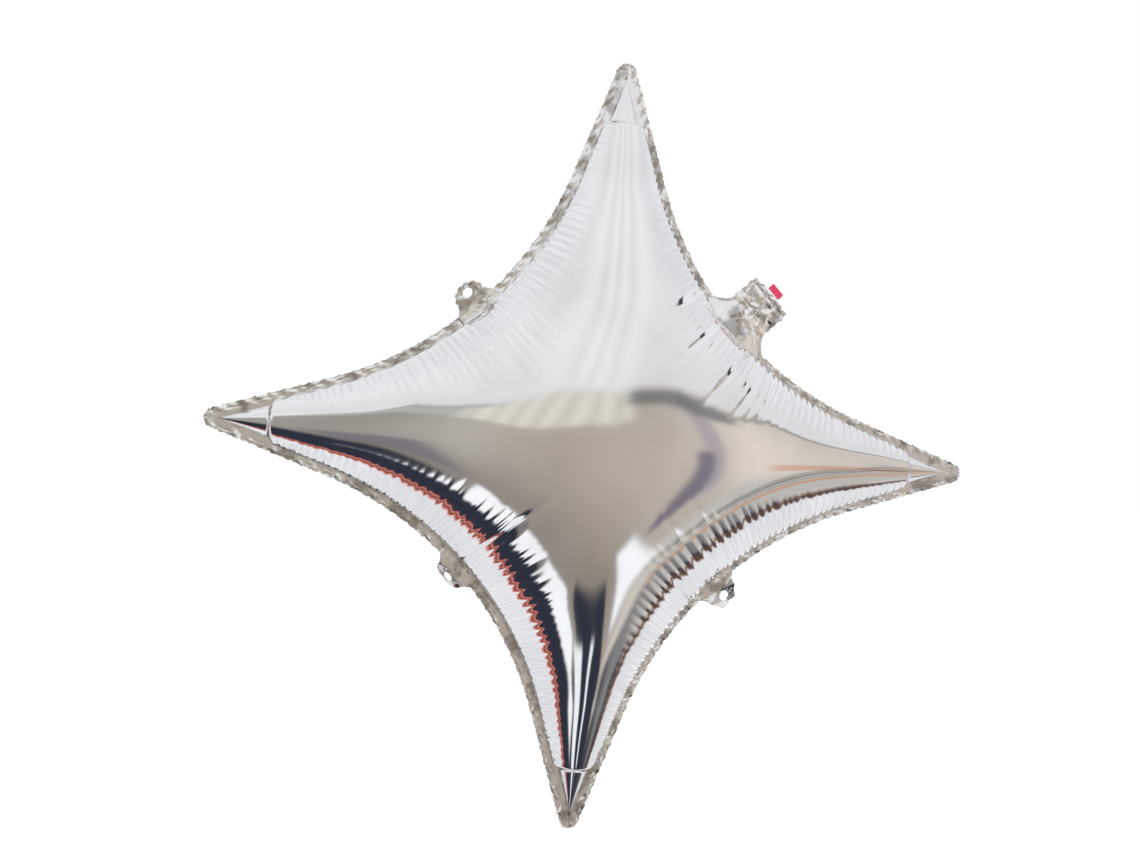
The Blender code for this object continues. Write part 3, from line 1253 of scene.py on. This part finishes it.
    @staticmethod
    def _ring_solid(front: Array, back: Array) -> tuple[Array, list[list[int]]]:
        """Close two ring-shaped grids, whose last column meets the first, into one solid."""
        rows, columns = front.shape[:2]
        count = rows * columns
        index = np.arange(count).reshape(rows, columns)
        turned = np.roll(index, -1, axis=1)
        quads = np.stack([index[:-1], turned[:-1], turned[1:], index[1:]], axis=-1).reshape(-1, 4)
        inner = np.stack([index[0], index[0] + count, turned[0] + count, turned[0]], axis=-1)
        outer = np.stack([index[-1], turned[-1], turned[-1] + count, index[-1] + count], axis=-1)
        faces = np.concatenate([quads[:, ::-1], quads + count, inner[:, ::-1], outer[:, ::-1]])
        return np.concatenate([front.reshape(-1, 3), back.reshape(-1, 3)]), faces.tolist()


# Filling neck


@dataclass
class FillingNeck:
    """The filling neck: a flared foil web that narrows to a flat crumpled sleeve with its valve film."""

    plan: StarPlan
    seed: int = 700
    web_length: float = 14.5 * MM
    web_root_half_width: float = 31 * MM
    half_width: float = 17.75 * MM
    sleeve_length: float = 20 * MM
    root_in: float = 7 * MM
    root_puff: float = 3.6 * MM
    sleeve_puff: float = 1.5 * MM
    edge_half_thickness: float = 0.15 * MM
    crumple: float = 0.5 * MM
    weld_margin: float = 0.86
    weld_places: Sequence[float] = (2.5 * MM, 16.5 * MM)
    valve_half_width: float = 7.5 * MM
    valve_proud: float = 2 * MM
    end_half_width: float = 5.5 * MM
    end_length: float = 5 * MM
    columns: int = 72
    rows: int = 84

    @property
    def hinge_reach(self) -> float:
        """Distance of the fold from the star's centre."""
        return self.plan.waist_reach + self.web_length

    def build(self, shop: Workshop, foil: Finish, clear: Finish, printed: Finish) -> list[bpy.types.Object]:
        """Build the neck's foil, its valve film and the film's coloured end.

        Args:
            shop: The workshop.
            foil: Finish of the neck.
            clear: Finish of the valve film.
            printed: Finish of its end.

        Returns:
            The three pieces.
        """
        return [self._foil(shop, foil), self._valve_film(shop, clear), self._valve_end(shop, printed)]

    def _half_width_at(self, out: Array) -> Array:
        """Half width of the neck at a distance out from its fold."""
        share = np.clip(-out / self.web_length, 0, 1.3)
        return self.half_width + (self.web_root_half_width - self.half_width) * share ** 2.2

    def _foil(self, shop: Workshop, finish: Finish) -> bpy.types.Object:
        """Build the web and the sleeve as one bag that is open at its mouth."""
        side_share = np.linspace(-1, 1, self.columns + 1)[None]
        share = np.linspace(0, 1, self.rows + 1)[:, None]
        arc = self.plan.arc_diagonal - np.sqrt(self.plan.arc_radius ** 2 - (side_share * self.web_root_half_width) ** 2)
        root = arc - self.hinge_reach - self.root_in
        out = root + (self.sleeve_length - root) * share
        out = out + 0.5 * MM * waves(side_share * self.half_width, (9 * MM, 5 * MM), self.seed) * share ** 3
        half_width = self._half_width_at(out)
        half_width = half_width + 0.5 * MM * waves(out, (11 * MM, 6.3 * MM), self.seed + 1) * smooth_step(-6 * MM, 2 * MM, out)
        side = side_share * half_width
        within = np.clip(np.abs(side_share) / self.weld_margin, 0, 1)
        pillow = (1 - within ** 2) ** 0.8
        web_puff = self.root_puff * np.clip(-out / self.web_length, 0, 1.4) ** 1.1
        sleeve = self.sleeve_puff * smooth_step(0, self.sleeve_length, out + 0.2 * self.sleeve_length)
        puff = (web_puff + sleeve) * pillow
        for place in self.weld_places:
            puff = puff * (1 - 0.85 * np.exp(-((out - place) / (1.1 * MM)) ** 2))
        free = smooth_step(-self.web_length - 2 * MM, -self.web_length + 5 * MM, out)
        shared = self.crumple * 1.1 * lumps(side, out, 13 * MM, 8, self.seed + 2) * free
        sheets = []
        for facing in (1, -1):
            own = self.crumple * (lumps(side, out, 11 * MM, 7, self.seed + 3 + facing)
                                  + 0.3 * lumps(side, out, 5 * MM, 7, self.seed + 5 + facing))
            own = np.abs(own) * pillow * free
            lift = shared + facing * (self.edge_half_thickness + puff + own)
            sheets.append(self.corner_place(side, out, lift))
        points, faces = two_sided(sheets[0], sheets[1])
        made = shop.mesh("neck_foil", points, faces, finish)
        ends = (Corner.UPPER_RIGHT.point(0, self.hinge_reach - 3 * MM, 0),
                Corner.UPPER_RIGHT.point(0, self.hinge_reach + 3 * MM, 0))
        return shop.bend(made, ("balloon", "neck"), ends, "foil_weld", "neck_web", "neck_sleeve")

    def corner_place(self, side: Array, out: Array, lift: Array) -> Array:
        """Put neck coordinates, measured out from the fold, into the star's frame."""
        side, out, lift = np.broadcast_arrays(side, out, lift)
        return Corner.UPPER_RIGHT.place(side, self.hinge_reach + out, lift)

    def _strip(self, half_width: float, start: float, end: float, half_thickness: float,
               curve: float) -> tuple[Array, list[list[int]]]:
        """A flat strip on the neck's centre line, softly curved.

        Args:
            half_width: Half width of the strip.
            start: Where it starts, out from the fold.
            end: Where it ends.
            half_thickness: Half its thickness.
            curve: Height of its waves.

        Returns:
            Points and faces.
        """
        side = np.linspace(-1, 1, 17)[None] * half_width
        out = np.linspace(start, end, 33)[:, None]
        lift = curve * lumps(side + 0 * out, out + 0 * side, 9 * MM, 5, self.seed + 9)
        corner = 1 - 0.06 * (np.abs(side / half_width) ** 6) * smooth_step(end - 1 * MM, end, out)
        sheets = [self.corner_place(side * corner, out, lift + half) for half in (half_thickness, -half_thickness)]
        return two_sided(sheets[0], sheets[1])

    def _valve_film(self, shop: Workshop, finish: Finish) -> bpy.types.Object:
        """Build the clear film that stands out of the neck's mouth."""
        end = self.sleeve_length + self.valve_proud
        points, faces = self._strip(self.valve_half_width, 4.3 * MM, end, 0.1 * MM, 0.2 * MM)
        made = shop.mesh("valve_film_sheet", points, faces, finish)
        return shop.attach(made, "neck", "clear_film", "valve_film")

    def _valve_end(self, shop: Workshop, finish: Finish) -> bpy.types.Object:
        """Build the film's coloured end."""
        start = self.sleeve_length + self.valve_proud
        points, faces = self._strip(self.end_half_width, start, start + self.end_length, 0.2 * MM, 0.25 * MM)
        made = shop.mesh("valve_end_strip", points, faces, finish)
        return shop.attach(made, "neck", "valve_end", "valve_end")


# Studio


@dataclass(frozen=True)
class CameraPlace:
    """The camera's place: azimuth, elevation and roll, its distance and what it looks at."""

    azimuth: float = 8.08
    elevation: float = -0.33
    roll: float = 4.48
    distance: float = 0.889
    aim: Colour = (-0.0207, 0.0, 0.0118)
    lens: float = 40.0
    sensor: float = 36.0

    def build(self) -> bpy.types.Object:
        """Make the scene's camera.

        Returns:
            The camera.
        """
        data = bpy.data.cameras.new("camera")
        data.lens = self.lens
        data.sensor_width = self.sensor
        data.clip_start = 0.01
        azimuth, elevation, roll = (math.radians(v) for v in (self.azimuth, self.elevation, self.roll))
        forward = Vector((math.sin(azimuth) * math.cos(elevation), math.cos(azimuth) * math.cos(elevation),
                          math.sin(elevation)))
        level = Vector((math.cos(azimuth), -math.sin(azimuth), 0.0))
        upright = level.cross(forward)
        right = math.cos(roll) * level + math.sin(roll) * upright
        up = -math.sin(roll) * level + math.cos(roll) * upright
        made = bpy.data.objects.new("camera", data)
        made.matrix_world = Matrix.Translation(Vector(self.aim) - forward * self.distance) @ Matrix(
            (right, up, -forward)).transposed().to_4x4()
        bpy.context.scene.collection.objects.link(made)
        bpy.context.scene.camera = made
        return made


def linear(red: float, green: float, blue: float) -> Colour:
    """Turn screen levels from 0 to 255 into linear light.

    Args:
        red: Red level.
        green: Green level.
        blue: Blue level.

    Returns:
        The colour in linear light.
    """
    levels = (level / 255 for level in (red, green, blue))
    return tuple(v / 12.92 if v < 0.04045 else ((v + 0.055) / 1.055) ** 2.4 for v in levels)


@dataclass
class Studio:
    """A pale floor far below the floating balloon, and soft light from a plain room all round."""

    floor_drop: float = 1.25
    floor_radius: float = 40.0
    foil_gain: float = 1.12
    even_light: float = 1.3

    def build(self, shop: Workshop) -> None:
        """Build the floor, the room's light and the camera.

        Args:
            shop: The workshop.
        """
        self._floor(shop)
        self._room()
        CameraPlace().build()
        bpy.context.scene.view_settings.view_transform = "Standard"

    def _floor(self, shop: Workshop) -> None:
        """Lay the floor as a wide disc."""
        turns = np.linspace(0, 2 * HALF_TURN, 97)[:-1]
        rings = [np.stack([r * np.cos(turns), r * np.sin(turns), 0 * turns - self.floor_drop], axis=1)
                 for r in (0.05, 1.0, 5.0, self.floor_radius)]
        points = np.concatenate(rings)
        faces: list[list[int]] = [list(range(96))]
        index = np.arange(4 * 96).reshape(4, 96)
        turned = np.roll(index, -1, axis=1)
        faces += np.stack([index[:-1], index[1:], turned[1:], turned[:-1]], axis=-1).reshape(-1, 4).tolist()
        floor = shop.mesh("floor", points, faces, FloorPaint("floor_paint", (0.94, 0.94, 0.94), 0.0, 0.6))
        floor.visible_glossy = False

    def _room(self) -> None:
        """Light the scene from a plain room: white above, warm grey walls, a dark floor and a white backdrop."""
        world = bpy.data.worlds.new("room")
        bpy.context.scene.world = world
        world.use_nodes = True
        graph = Graph(world.node_tree)
        direction = graph.node("ShaderNodeTexCoord").outputs["Generated"]
        colour = self._seen_towards(graph, *graph.axes(direction))
        path = graph.node("ShaderNodeLightPath")
        colour = graph.mix(path.outputs["Is Diffuse Ray"], colour, (self.even_light,) * 3)
        colour = graph.mix(path.outputs["Is Camera Ray"], colour, (1.0, 1.0, 1.0))
        light = graph.node("ShaderNodeBackground", inputs={"Color": colour, "Strength": 1.0})
        graph.node("ShaderNodeOutputWorld", inputs={"Surface": light.outputs[0]})

    def _seen_towards(self, graph: Graph, x: Value, y: Value, z: Value) -> bpy.types.NodeSocket:
        """Colour of the room in a direction.

        Args:
            graph: The world's graph.
            x: Direction to the right.
            y: Direction to the back. The room behind the balloon mirrors the one in front of it.
            z: Direction up.

        Returns:
            The colour's socket.
        """
        degrees = 180 / HALF_TURN
        azimuth = x.math("ARCTAN2", abs(y)) * degrees
        elevation = z.math("ARCSINE") * degrees
        off_axis = abs(y).math("ARCCOSINE") * degrees
        turn = x.math("ARCTAN2", z * -1.0) * degrees
        drape = (turn * 0.26).math("SINE") * 0.5 + 0.5
        colour = self._walls(graph, azimuth, elevation)
        colour = self._ceiling(graph, colour, azimuth, elevation, off_axis, drape)
        colour = self._ground(graph, colour, azimuth, elevation, off_axis, turn)
        return self._backdrop(graph, colour, turn, y, z, drape)

    def _tone(self, red: float, green: float, blue: float) -> Colour:
        """Room colour that the foil shows at these screen levels."""
        return tuple(part * self.foil_gain for part in linear(red, green, blue))

    def _walls(self, graph: Graph, azimuth: Value, elevation: Value) -> bpy.types.NodeSocket:
        """Warm grey walls, lighter to the right, with darker uprights, a shelf and a doorway on each side."""
        tone = self._tone
        place = azimuth * (1 / 180) + 0.5
        stops = [(0.0, tone(190, 188, 184)), (0.27, tone(150, 146, 140)), (0.36, tone(176, 171, 163)),
                 (0.5, tone(170, 160, 150)), (0.62, tone(184, 174, 164)), (0.74, tone(222, 212, 203)),
                 (0.84, tone(204, 195, 186)), (1.0, tone(214, 210, 205))]
        wall = graph.node("ShaderNodeValToRGB", {"stops": stops}, {0: place}).outputs[0]
        shade = (elevation * -1.0).rise(2.0, 32.0) * (1.0 - azimuth.rise(34.0, 50.0))
        wall = graph.mix(shade * 0.6, wall, tone(118, 109, 102))
        patches = (
            (azimuth.band(30, 33, 2) * elevation.band(-14, 16, 4) * 0.6, tone(150, 142, 160)),
            (azimuth.band(28.5, 30.5, 1.5) * elevation.band(-17, -2, 3) * 0.8, tone(96, 88, 108)),
            (azimuth.band(-41, -34, 5) * elevation.band(-26, -15, 5) * 0.7, tone(112, 106, 122)),
            ((1.0 - azimuth.rise(-77, -74)) * elevation.band(-22, 16, 3), tone(62, 60, 60)),
            (azimuth.band(52, 100, 8) * elevation.band(-8, -3, 1.5) * 0.8, tone(205, 160, 135)),
            (azimuth.band(-75, -67, 3) * elevation.band(-2.0, -0.9, 0.5) * 0.8, tone(190, 60, 70)),
        )
        for mask, colour in patches:
            wall = graph.mix(mask, wall, colour)
        return wall

    def _ceiling(self, graph: Graph, colour: bpy.types.NodeSocket, azimuth: Value, elevation: Value,
                 off_axis: Value, drape: Value) -> bpy.types.NodeSocket:
        """White above a line that is lowest straight ahead and rises to both sides."""
        tone = self._tone
        right = ((azimuth - 8.0).math("MAXIMUM", 0.0) ** 1.15 * 0.21).math("MINIMUM", 20.0)
        left = (6.0 - azimuth).math("MAXIMUM", 0.0) ** 1.6 * 0.052
        over = elevation - (10.0 + right + left * azimuth.rise(-60.0, -43.0))
        folds = (azimuth * 1.15).math("SINE") * 0.5 + 0.5
        cloth = over.band(-6.5, 0.0, 1.5) * azimuth.band(-24, 12, 5)
        colour = graph.mix(cloth * (0.55 + folds * 0.35), colour, tone(222, 219, 208))
        strip = over.band(-5.0, 0.0, 2.5) * (1.0 - azimuth.rise(-30.0, -20.0))
        colour = graph.mix(strip * 0.7, colour, tone(186, 187, 182))
        shadow = azimuth.band(16, 40, 7) * over.band(-3.2, -1.0, 1.2)
        colour = graph.mix(shadow * 0.8, colour, tone(84, 92, 98))
        rail = azimuth.rise(34, 44) * over.band(-1.6, -0.5, 0.8)
        colour = graph.mix(rail * 0.6, colour, tone(98, 98, 98))
        edge = over.band(-0.6, 0.0, 0.7) * (1.0 - azimuth.rise(-24.0, -14.0))
        colour = graph.mix(edge * 0.6, colour, tone(120, 122, 124))
        white = graph.mix(drape * 0.28, tone(231, 231, 233), tone(190, 190, 196))
        aside = off_axis.rise(79, 84) * elevation.rise(8, 14)
        colour = graph.mix(over.rise(-0.3, 1.2).math("MAXIMUM", aside), colour, white)
        doorway = azimuth.rise(78, 81) * elevation.band(-22, 30, 3)
        return graph.mix(doorway, colour, tone(52, 56, 62))

    def _ground(self, graph: Graph, colour: bpy.types.NodeSocket, azimuth: Value, elevation: Value,
                off_axis: Value, turn: Value) -> bpy.types.NodeSocket:
        """Dark floor below, with bright pools between it and the walls and a lighter stretch to the right."""
        tone = self._tone
        low = (elevation * -1.0).rise(8.0, 22.0)
        aside = turn.rise(48.0, 56.0)
        nearest = 60.0 - (1.0 - turn.rise(-42.0, -38.5)) * 9.0 - turn.band(-16, 24, 8) * 25.0
        dark = (off_axis - nearest).rise(-3.0, 4.0) * (1.0 - aside)
        colour = graph.mix(dark * low * 0.97, colour, tone(38, 43, 58))
        left_pool = turn.band(-37.5, -26, 2) * off_axis.band(44, 60, 4)
        colour = graph.mix(left_pool, colour, tone(246, 247, 250))
        grey = turn.rise(34.0, 46.0) * low * off_axis.band(47, 74, 6)
        colour = graph.mix(grey * (aside * 0.5 + 0.4), colour, tone(186, 183, 179))
        right_pool = turn.band(38, 49, 4) * off_axis.band(31, 48, 5)
        colour = graph.mix(right_pool, colour, tone(246, 247, 250))
        slanted = off_axis - (turn - 55.0) * 0.26
        lines = turn.band(54, 96, 6)
        for first, last, shade in ((52.2, 52.9, 0.7), (54.6, 55.6, 0.9), (58.2, 58.8, 0.6)):
            colour = graph.mix(lines * slanted.band(first, last, 0.6) * shade, colour, tone(74, 80, 82))
        colour = graph.mix(lines * slanted.band(61.5, 63.5, 1.2) * 0.8, colour, tone(196, 142, 98))
        down = elevation * -1.0
        streaks = azimuth.band(-24, -10, 3) * down.band(46, 74, 3) + azimuth.band(8, 12, 2) * down.band(44, 54, 4)
        colour = graph.mix(streaks, colour, tone(236, 238, 242))
        return colour

    def _backdrop(self, graph: Graph, colour: bpy.types.NodeSocket, turn: Value, y: Value, z: Value,
                  drape: Value) -> bpy.types.NodeSocket:
        """White backdrop in the plane of the balloon, with a red-brown hem where it meets the floor."""
        tone = self._tone
        below = 1.0 - z.rise(-0.22, -0.12)
        leftward = 1.0 - turn.rise(-4, 4)
        hem = y.band(-0.15, 0.0, 0.02) * below
        colour = graph.mix(hem * (leftward * 0.6 + 0.4), colour,
                           graph.mix(leftward, tone(132, 78, 54), tone(208, 118, 110)))
        piping = y.band(-0.1, -0.065, 0.012) * below
        colour = graph.mix(piping, colour, tone(84, 70, 54))
        sheet = y.band(0.02, 0.7, 0.05)
        return graph.mix(sheet, colour, graph.mix(drape * 0.4, tone(232, 232, 235), tone(190, 191, 197)))


def front_film(plan: StarPlan) -> InflatedFilm:
    """The front film, with the deep folds that its neck and tabs draw into it.

    Args:
        plan: The star's plan.

    Returns:
        The film, before it is built.
    """
    folds = {
        0: (Crease(178 * MM, 1.5 * MM, 62 * MM, 1.5 * MM), Crease(230 * MM, 1.3 * MM, 60 * MM, 1.2 * MM)),
        1: tuple(Crease(at * MM, 1.3 * MM, 52 * MM, 0.95 * MM, start=33 * MM)
                 for at in (179, 183, 194, 206, 212, 218, 232, 236)),
        2: (Crease(190 * MM, 2.2 * MM, 95 * MM, 2.4 * MM), Crease(184 * MM, 1.2 * MM, 80 * MM, 1.2 * MM)),
        3: (Crease(172 * MM, 1.6 * MM, 72 * MM, 1.7 * MM), Crease(197 * MM, 1.4 * MM, 70 * MM, 1.6 * MM)),
    }
    strengths = ((0.75, 0.2), (0.35, 0.35), (1.0, 1.0), (1.0, 1.0))
    return InflatedFilm(plan, "film_front", -1, "envelope_front", 100, strengths, folds)


def main() -> None:
    """Build every sub-assembly in order.
    """
    shop = Workshop()
    plan = StarPlan()
    polished = PolishedFoil("polished_foil", (0.92, 0.92, 0.925), 1.0, 0.045)
    welded = WeldedFoil("welded_foil", (0.9, 0.9, 0.9), 1.0, 0.08)
    clear = ClearFilm("clear_film", (0.93, 0.94, 0.95), 0.0, 0.12)
    printed = PrintedFilm("pink_red_film", (0.72, 0.03, 0.12), 0.0, 0.3)
    front_film(plan).build(shop, polished)
    InflatedFilm(plan, "film_back", 1, "envelope_back", 200).build(shop, polished)
    WeldedSeam(plan).build(shop, welded)
    tabs = (
        (Corner.UPPER_LEFT, TabForm.SCALLOPED, "upper_left", 400),
        (Corner.LOWER_LEFT, TabForm.ROUND, "lower_left", 410),
        (Corner.LOWER_RIGHT, TabForm.CURLED, "lower_right", 420),
    )
    for corner, form, place, seed in tabs:
        tab = HangTab(plan, corner, form, f"tab_{place}", f"hang_tab_{place}", f"ribbon_tab_{place}", seed)
        tab.build(shop, welded)
    FillingNeck(plan).build(shop, welded, clear, printed)
    Studio().build(shop)


if __name__ == "__main__":
    logging.basicConfig(level=logging.INFO, format="%(message)s")
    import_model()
    main()
